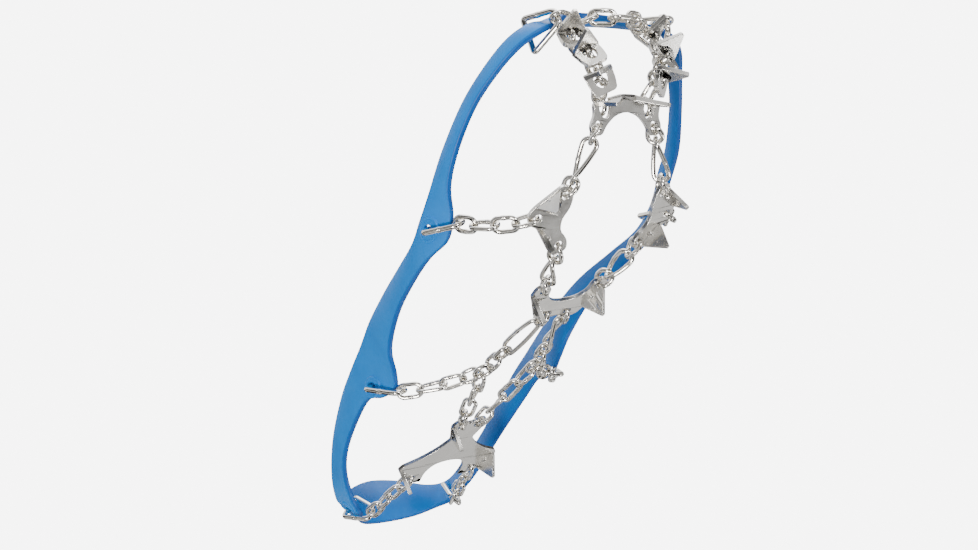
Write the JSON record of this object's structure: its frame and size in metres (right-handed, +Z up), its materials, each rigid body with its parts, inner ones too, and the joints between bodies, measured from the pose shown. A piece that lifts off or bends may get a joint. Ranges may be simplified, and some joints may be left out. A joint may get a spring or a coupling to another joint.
{
  "type": "shoe ice cleats",
  "caption": "Slip-on shoe ice cleats: stretchy blue rubber harness for a boot with a steel chain net and bent spiked plates under the sole.",
  "frame": {"origin": "centre of the part's bounding box, at the level of the spike tips", "axes": "+Y to the toe, +Z up through the boot, +X to the wearer's right"},
  "size_m": [0.1296, 0.311, 0.0963],
  "materials": {
    "blue_rubber": "satin moulded elastomer",
    "satin_steel": "satin stainless sheet",
    "bright_steel": "polished stainless wire"
  },
  "bodies": {
    "harness": {"harness_band": "blue_rubber"},
    "arch_chain_left_end": {"arch_chain_left_end": "bright_steel"},
    "arch_chain_left_long": {"arch_chain_left_long": "bright_steel"},
    "arch_chain_right_end": {"arch_chain_right_end": "bright_steel"},
    "arch_chain_right_long": {"arch_chain_right_long": "bright_steel"},
    "arch_plate": {"arch_plate": "satin_steel"},
    "cross_chain_left": {"cross_chain_left": "bright_steel"},
    "cross_chain_middle": {"cross_chain_middle": "bright_steel"},
    "cross_chain_right": {"cross_chain_right": "bright_steel"},
    "forefoot_chain_left_inner": {"forefoot_chain_left_inner": "bright_steel"},
    "forefoot_chain_left_outer": {"forefoot_chain_left_outer": "bright_steel"},
    "forefoot_chain_right_inner": {"forefoot_chain_right_inner": "bright_steel"},
    "forefoot_chain_right_outer": {"forefoot_chain_right_outer": "bright_steel"},
    "forefoot_ring_left": {"forefoot_ring_left": "bright_steel"},
    "forefoot_ring_right": {"forefoot_ring_right": "bright_steel"},
    "heel_front_chain_left_inner": {"heel_front_chain_left_inner": "bright_steel"},
    "heel_front_chain_left_outer": {"heel_front_chain_left_outer": "bright_steel"},
    "heel_front_chain_right_inner": {"heel_front_chain_right_inner": "bright_steel"},
    "heel_front_chain_right_outer": {"heel_front_chain_right_outer": "bright_steel"},
    "heel_plate": {"heel_plate": "satin_steel"},
    "heel_side_chain_left_inner": {"heel_side_chain_left_inner": "bright_steel"},
    "heel_side_chain_left_outer": {"heel_side_chain_left_outer": "bright_steel"},
    "heel_side_chain_right_inner": {"heel_side_chain_right_inner": "bright_steel"},
    "heel_side_chain_right_outer": {"heel_side_chain_right_outer": "bright_steel"},
    "heel_side_ring_left": {"heel_side_ring_left": "bright_steel"},
    "heel_side_ring_right": {"heel_side_ring_right": "bright_steel"},
    "rear_chain_left_inner": {"rear_chain_left_inner": "bright_steel"},
    "rear_chain_left_outer": {"rear_chain_left_outer": "bright_steel"},
    "rear_chain_right_inner": {"rear_chain_right_inner": "bright_steel"},
    "rear_chain_right_outer": {"rear_chain_right_outer": "bright_steel"},
    "rear_plate": {"rear_plate": "satin_steel"},
    "rear_ring_left": {"rear_ring_left": "bright_steel"},
    "rear_ring_right": {"rear_ring_right": "bright_steel"},
    "side_chain_left_end": {"side_chain_left_end": "bright_steel"},
    "side_chain_left_long": {"side_chain_left_long": "bright_steel"},
    "side_chain_right_end": {"side_chain_right_end": "bright_steel"},
    "side_chain_right_long": {"side_chain_right_long": "bright_steel"},
    "side_plate_left": {"side_plate_left": "satin_steel"},
    "side_plate_right": {"side_plate_right": "satin_steel"},
    "toe_chain_left_1": {"toe_chain_left_1": "bright_steel"},
    "toe_chain_left_2": {"toe_chain_left_2": "bright_steel"},
    "toe_chain_left_3": {"toe_chain_left_3": "bright_steel"},
    "toe_chain_right_1": {"toe_chain_right_1": "bright_steel"},
    "toe_chain_right_2": {"toe_chain_right_2": "bright_steel"},
    "toe_chain_right_3": {"toe_chain_right_3": "bright_steel"},
    "toe_plate_left_1": {"toe_plate_left_1": "satin_steel"},
    "toe_plate_left_2": {"toe_plate_left_2": "satin_steel"},
    "toe_plate_left_3": {"toe_plate_left_3": "satin_steel"},
    "toe_plate_right_1": {"toe_plate_right_1": "satin_steel"},
    "toe_plate_right_2": {"toe_plate_right_2": "satin_steel"},
    "toe_plate_right_3": {"toe_plate_right_3": "satin_steel"},
    "toe_ring_left": {"toe_ring_left": "bright_steel"},
    "toe_ring_right": {"toe_ring_right": "bright_steel"},
    "waist_chain_left_junction": {"waist_chain_left_junction": "bright_steel"},
    "waist_chain_left_long": {"waist_chain_left_long": "bright_steel"},
    "waist_chain_right_junction": {"waist_chain_right_junction": "bright_steel"},
    "waist_chain_right_long": {"waist_chain_right_long": "bright_steel"}
  },
  "joints": [
    {"name": "arch_chain_left_end_twist", "type": "hinge", "parent": "harness", "child": "arch_chain_left_end", "pos_m": [0.02261, 0.10792, 0.02251], "axis": [0.3349, -0.8761, -0.3468], "range_deg": [-12, 5]},
    {"name": "arch_chain_left_long_twist", "type": "hinge", "parent": "harness", "child": "arch_chain_left_long", "pos_m": [0.0142, 0.12511, 0.03498], "axis": [0.3684, -0.7516, -0.5471], "range_deg": [-2.5, 12]},
    {"name": "arch_chain_right_end_twist", "type": "hinge", "parent": "harness", "child": "arch_chain_right_end", "pos_m": [-0.02261, 0.10792, 0.02251], "axis": [-0.3349, -0.8761, -0.3468], "range_deg": [-8, 12]},
    {"name": "arch_chain_right_long_twist", "type": "hinge", "parent": "harness", "child": "arch_chain_right_long", "pos_m": [-0.0142, 0.12511, 0.03498], "axis": [-0.3684, -0.7516, -0.5471], "range_deg": [-12, 2.5]},
    {"name": "arch_plate_rock", "type": "hinge", "parent": "harness", "child": "arch_plate", "pos_m": [0, 0.12738, 0.03708], "axis": [1, 0, 0], "range_deg": [-2, 2]},
    {"name": "cross_chain_left_twist", "type": "hinge", "parent": "harness", "child": "cross_chain_left", "pos_m": [0.03037, 0.14938, 0.07125], "axis": [-0.9936, 0.0896, -0.0692], "range_deg": [-4, 1]},
    {"name": "cross_chain_middle_twist", "type": "hinge", "parent": "harness", "child": "cross_chain_middle", "pos_m": [0.01299, 0.14941, 0.0708], "axis": [-0.9997, -0.0002, -0.0244], "range_deg": [-4, 2.5]},
    {"name": "cross_chain_right_twist", "type": "hinge", "parent": "harness", "child": "cross_chain_right", "pos_m": [-0.01098, 0.15109, 0.0692], "axis": [-0.8941, -0.383, 0.2319], "range_deg": [-2.5, 3]},
    {"name": "forefoot_chain_left_inner_twist", "type": "hinge", "parent": "harness", "child": "forefoot_chain_left_inner", "pos_m": [0.04643, 0.07795, 0.02457], "axis": [-0.696, 0.6287, -0.3468], "range_deg": [-8, 8]},
    {"name": "forefoot_chain_left_outer_twist", "type": "hinge", "parent": "harness", "child": "forefoot_chain_left_outer", "pos_m": [0.05433, 0.06749, 0.03538], "axis": [-0.4779, 0.6185, -0.6238], "range_deg": [-10, 6]},
    {"name": "forefoot_chain_right_inner_twist", "type": "hinge", "parent": "harness", "child": "forefoot_chain_right_inner", "pos_m": [-0.04643, 0.07795, 0.02457], "axis": [0.696, 0.6287, -0.3468], "range_deg": [-8, 8]},
    {"name": "forefoot_chain_right_outer_twist", "type": "hinge", "parent": "harness", "child": "forefoot_chain_right_outer", "pos_m": [-0.05433, 0.06749, 0.03538], "axis": [0.4779, 0.6185, -0.6238], "range_deg": [-6, 10]},
    {"name": "forefoot_ring_left_swing", "type": "hinge", "parent": "harness", "child": "forefoot_ring_left", "pos_m": [0.05906, 0.05735, 0.04137], "axis": [0.8687, 0.1216, -0.4801], "range_deg": [-3, 1]},
    {"name": "forefoot_ring_right_swing", "type": "hinge", "parent": "harness", "child": "forefoot_ring_right", "pos_m": [-0.05906, 0.05735, 0.04137], "axis": [-0.8687, 0.1216, -0.4801], "range_deg": [-1, 3]},
    {"name": "heel_front_chain_left_inner_twist", "type": "hinge", "parent": "harness", "child": "heel_front_chain_left_inner", "pos_m": [0.01032, -0.03063, 0.01158], "axis": [-0.1729, -0.9846, -0.0276], "range_deg": [-12, 12]},
    {"name": "heel_front_chain_left_outer_twist", "type": "hinge", "parent": "harness", "child": "heel_front_chain_left_outer", "pos_m": [0.01386, -0.01047, 0.01215], "axis": [-0.1729, -0.9846, -0.0276], "range_deg": [-12, 12]},
    {"name": "heel_front_chain_right_inner_twist", "type": "hinge", "parent": "harness", "child": "heel_front_chain_right_inner", "pos_m": [-0.00787, -0.03028, 0.01158], "axis": [0.2798, -0.9597, -0.0273], "range_deg": [-12, 12]},
    {"name": "heel_front_chain_right_outer_twist", "type": "hinge", "parent": "harness", "child": "heel_front_chain_right_outer", "pos_m": [-0.01365, -0.01042, 0.01215], "axis": [0.2798, -0.9597, -0.0273], "range_deg": [-12, 12]},
    {"name": "heel_plate_rock", "type": "hinge", "parent": "harness", "child": "heel_plate", "pos_m": [-0.0008, -0.09155, 0.011], "axis": [0.0785, 0.9969, 0], "range_deg": [-1, 1]},
    {"name": "heel_side_chain_left_inner_twist", "type": "hinge", "parent": "harness", "child": "heel_side_chain_left_inner", "pos_m": [0.02938, -0.0214, 0.01547], "axis": [-0.7542, 0.6385, -0.1534], "range_deg": [-2.5, 10]},
    {"name": "heel_side_chain_left_outer_twist", "type": "hinge", "parent": "harness", "child": "heel_side_chain_left_outer", "pos_m": [0.0438, -0.03361, 0.02202], "axis": [-0.7235, 0.6125, -0.3184], "range_deg": [-8, 6]},
    {"name": "heel_side_chain_right_inner_twist", "type": "hinge", "parent": "harness", "child": "heel_side_chain_right_inner", "pos_m": [-0.02938, -0.0214, 0.01547], "axis": [0.7542, 0.6385, -0.1534], "range_deg": [-8, 2.5]},
    {"name": "heel_side_chain_right_outer_twist", "type": "hinge", "parent": "harness", "child": "heel_side_chain_right_outer", "pos_m": [-0.0438, -0.03361, 0.02202], "axis": [0.7235, 0.6125, -0.3184], "range_deg": [-6, 10]},
    {"name": "heel_side_ring_left_swing", "type": "hinge", "parent": "harness", "child": "heel_side_ring_left", "pos_m": [0.04728, -0.04348, 0.03297], "axis": [0.9661, 0.0629, -0.2504], "range_deg": [-2.5, 1]},
    {"name": "heel_side_ring_right_swing", "type": "hinge", "parent": "harness", "child": "heel_side_ring_right", "pos_m": [-0.04728, -0.04348, 0.03297], "axis": [-0.9661, 0.0629, -0.2504], "range_deg": [-1, 2.5]},
    {"name": "rear_chain_left_inner_twist", "type": "hinge", "parent": "harness", "child": "rear_chain_left_inner", "pos_m": [0.01577, -0.09265, 0.011], "axis": [0.238, -0.9705, 0.0386], "range_deg": [-12, 10]},
    {"name": "rear_chain_left_outer_twist", "type": "hinge", "parent": "harness", "child": "rear_chain_left_outer", "pos_m": [0.01997, -0.1098, 0.01168], "axis": [0.238, -0.9705, 0.0386], "range_deg": [-12, 6]},
    {"name": "rear_chain_right_inner_twist", "type": "hinge", "parent": "harness", "child": "rear_chain_right_inner", "pos_m": [-0.01733, -0.09005, 0.011], "axis": [-0.1798, -0.9831, 0.0339], "range_deg": [-10, 12]},
    {"name": "rear_chain_right_outer_twist", "type": "hinge", "parent": "harness", "child": "rear_chain_right_outer", "pos_m": [-0.02072, -0.10858, 0.01164], "axis": [-0.1798, -0.9831, 0.0339], "range_deg": [-6, 12]},
    {"name": "rear_plate_rock", "type": "hinge", "parent": "harness", "child": "rear_plate", "pos_m": [-0.0018, 0.03945, 0.011], "axis": [0.9962, -0.0872, 0], "range_deg": [-2, 1.5]},
    {"name": "rear_ring_left_swing", "type": "hinge", "parent": "harness", "child": "rear_ring_left", "pos_m": [0.02967, -0.13287, 0.02126], "axis": [0.6817, -0.3482, -0.6435], "range_deg": [-1.5, 2]},
    {"name": "rear_ring_right_swing", "type": "hinge", "parent": "harness", "child": "rear_ring_right", "pos_m": [-0.02967, -0.13287, 0.02126], "axis": [-0.6817, -0.3482, -0.6435], "range_deg": [-2, 1.5]},
    {"name": "side_chain_left_end_twist", "type": "hinge", "parent": "harness", "child": "side_chain_left_end", "pos_m": [0.01546, 0.0584, 0.01044], "axis": [-0.2743, -0.9595, 0.0645], "range_deg": [-12, 10]},
    {"name": "side_chain_left_long_twist", "type": "hinge", "parent": "harness", "child": "side_chain_left_long", "pos_m": [0.02115, 0.07991, 0.01195], "axis": [-0.2518, -0.9636, -0.0895], "range_deg": [-8, 10]},
    {"name": "side_chain_right_end_twist", "type": "hinge", "parent": "harness", "child": "side_chain_right_end", "pos_m": [-0.01664, 0.06042, 0.01043], "axis": [0.2478, -0.9663, 0.0703], "range_deg": [-10, 12]},
    {"name": "side_chain_right_long_twist", "type": "hinge", "parent": "harness", "child": "side_chain_right_long", "pos_m": [-0.02115, 0.07991, 0.01195], "axis": [0.2213, -0.9703, -0.0976], "range_deg": [-10, 8]},
    {"name": "side_plate_left_rock", "type": "hinge", "parent": "harness", "child": "side_plate_left", "pos_m": [0.027, 0.08987, 0.01659], "axis": [0, 0.9514, 0.308], "range_deg": [-1.5, 1]},
    {"name": "side_plate_right_rock", "type": "hinge", "parent": "harness", "child": "side_plate_right", "pos_m": [-0.027, 0.08987, 0.01659], "axis": [0, 0.9514, 0.308], "range_deg": [-1, 1.5]},
    {"name": "toe_chain_left_1_twist", "type": "hinge", "parent": "harness", "child": "toe_chain_left_1", "pos_m": [0.01783, 0.14176, 0.07467], "axis": [0.0496, 0.0286, -0.9984], "range_deg": [-5, 4]},
    {"name": "toe_chain_left_2_twist", "type": "hinge", "parent": "harness", "child": "toe_chain_left_2", "pos_m": [0.01853, 0.14077, 0.05743], "axis": [-0.3996, -0.1476, -0.9047], "range_deg": [-1, 5]},
    {"name": "toe_chain_left_3_twist", "type": "hinge", "parent": "harness", "child": "toe_chain_left_3", "pos_m": [0.01477, 0.13947, 0.05132], "axis": [-0.1829, -0.6365, -0.7493], "range_deg": [-5, 5]},
    {"name": "toe_chain_right_1_twist", "type": "hinge", "parent": "harness", "child": "toe_chain_right_1", "pos_m": [-0.01783, 0.14176, 0.07467], "axis": [-0.0496, 0.0286, -0.9984], "range_deg": [-5, 5]},
    {"name": "toe_chain_right_2_twist", "type": "hinge", "parent": "harness", "child": "toe_chain_right_2", "pos_m": [-0.01853, 0.14077, 0.05743], "axis": [0.3996, -0.1476, -0.9047], "range_deg": [-5, 1]},
    {"name": "toe_chain_right_3_twist", "type": "hinge", "parent": "harness", "child": "toe_chain_right_3", "pos_m": [-0.01477, 0.13947, 0.05132], "axis": [0.1829, -0.6365, -0.7493], "range_deg": [-5, 5]},
    {"name": "toe_plate_left_1_rock", "type": "hinge", "parent": "harness", "child": "toe_plate_left_1", "pos_m": [0.0215, 0.14395, 0.0645], "axis": [-0.3139, -0.1215, 0.9417], "range_deg": [-8, 2.5]},
    {"name": "toe_plate_left_2_rock", "type": "hinge", "parent": "harness", "child": "toe_plate_left_2", "pos_m": [0.0196, 0.14545, 0.0538], "axis": [0.1732, -0.1367, 0.9754], "range_deg": [-10, 10]},
    {"name": "toe_plate_left_3_rock", "type": "hinge", "parent": "harness", "child": "toe_plate_left_3", "pos_m": [0.0156, 0.14015, 0.0454], "axis": [0.3736, 0.495, 0.7845], "range_deg": [-8, 10]},
    {"name": "toe_plate_right_1_rock", "type": "hinge", "parent": "harness", "child": "toe_plate_right_1", "pos_m": [-0.0215, 0.14395, 0.0645], "axis": [0.3139, -0.1215, 0.9417], "range_deg": [-2.5, 6]},
    {"name": "toe_plate_right_2_rock", "type": "hinge", "parent": "harness", "child": "toe_plate_right_2", "pos_m": [-0.0196, 0.14545, 0.0538], "axis": [-0.1732, -0.1367, 0.9754], "range_deg": [-10, 10]},
    {"name": "toe_plate_right_3_rock", "type": "hinge", "parent": "harness", "child": "toe_plate_right_3", "pos_m": [-0.0156, 0.14015, 0.0454], "axis": [-0.3736, 0.495, 0.7845], "range_deg": [-10, 10]},
    {"name": "toe_ring_left_swing", "type": "hinge", "parent": "harness", "child": "toe_ring_left", "pos_m": [0.0334, 0.13495, 0.0744], "axis": [-0.0214, 0.2087, 0.9777], "range_deg": [-1, 3]},
    {"name": "toe_ring_right_swing", "type": "hinge", "parent": "harness", "child": "toe_ring_right", "pos_m": [-0.0334, 0.13495, 0.0744], "axis": [0.0214, 0.2087, 0.9777], "range_deg": [-3, 1]},
    {"name": "waist_chain_left_junction_twist", "type": "hinge", "parent": "harness", "child": "waist_chain_left_junction", "pos_m": [0.00965, 0.00859, 0.01172], "axis": [0.2567, -0.9661, 0.027], "range_deg": [-2, 12]},
    {"name": "waist_chain_left_long_twist", "type": "hinge", "parent": "harness", "child": "waist_chain_left_long", "pos_m": [0.00278, 0.03443, 0.011], "axis": [0.2567, -0.9661, 0.027], "range_deg": [-12, 12]},
    {"name": "waist_chain_right_junction_twist", "type": "hinge", "parent": "harness", "child": "waist_chain_right_junction", "pos_m": [-0.0114, 0.00894, 0.01172], "axis": [-0.158, -0.9871, 0.027], "range_deg": [-12, 2]},
    {"name": "waist_chain_right_long_twist", "type": "hinge", "parent": "harness", "child": "waist_chain_right_long", "pos_m": [-0.00718, 0.0353, 0.011], "axis": [-0.158, -0.9871, 0.027], "range_deg": [-12, 12]}
  ]
}
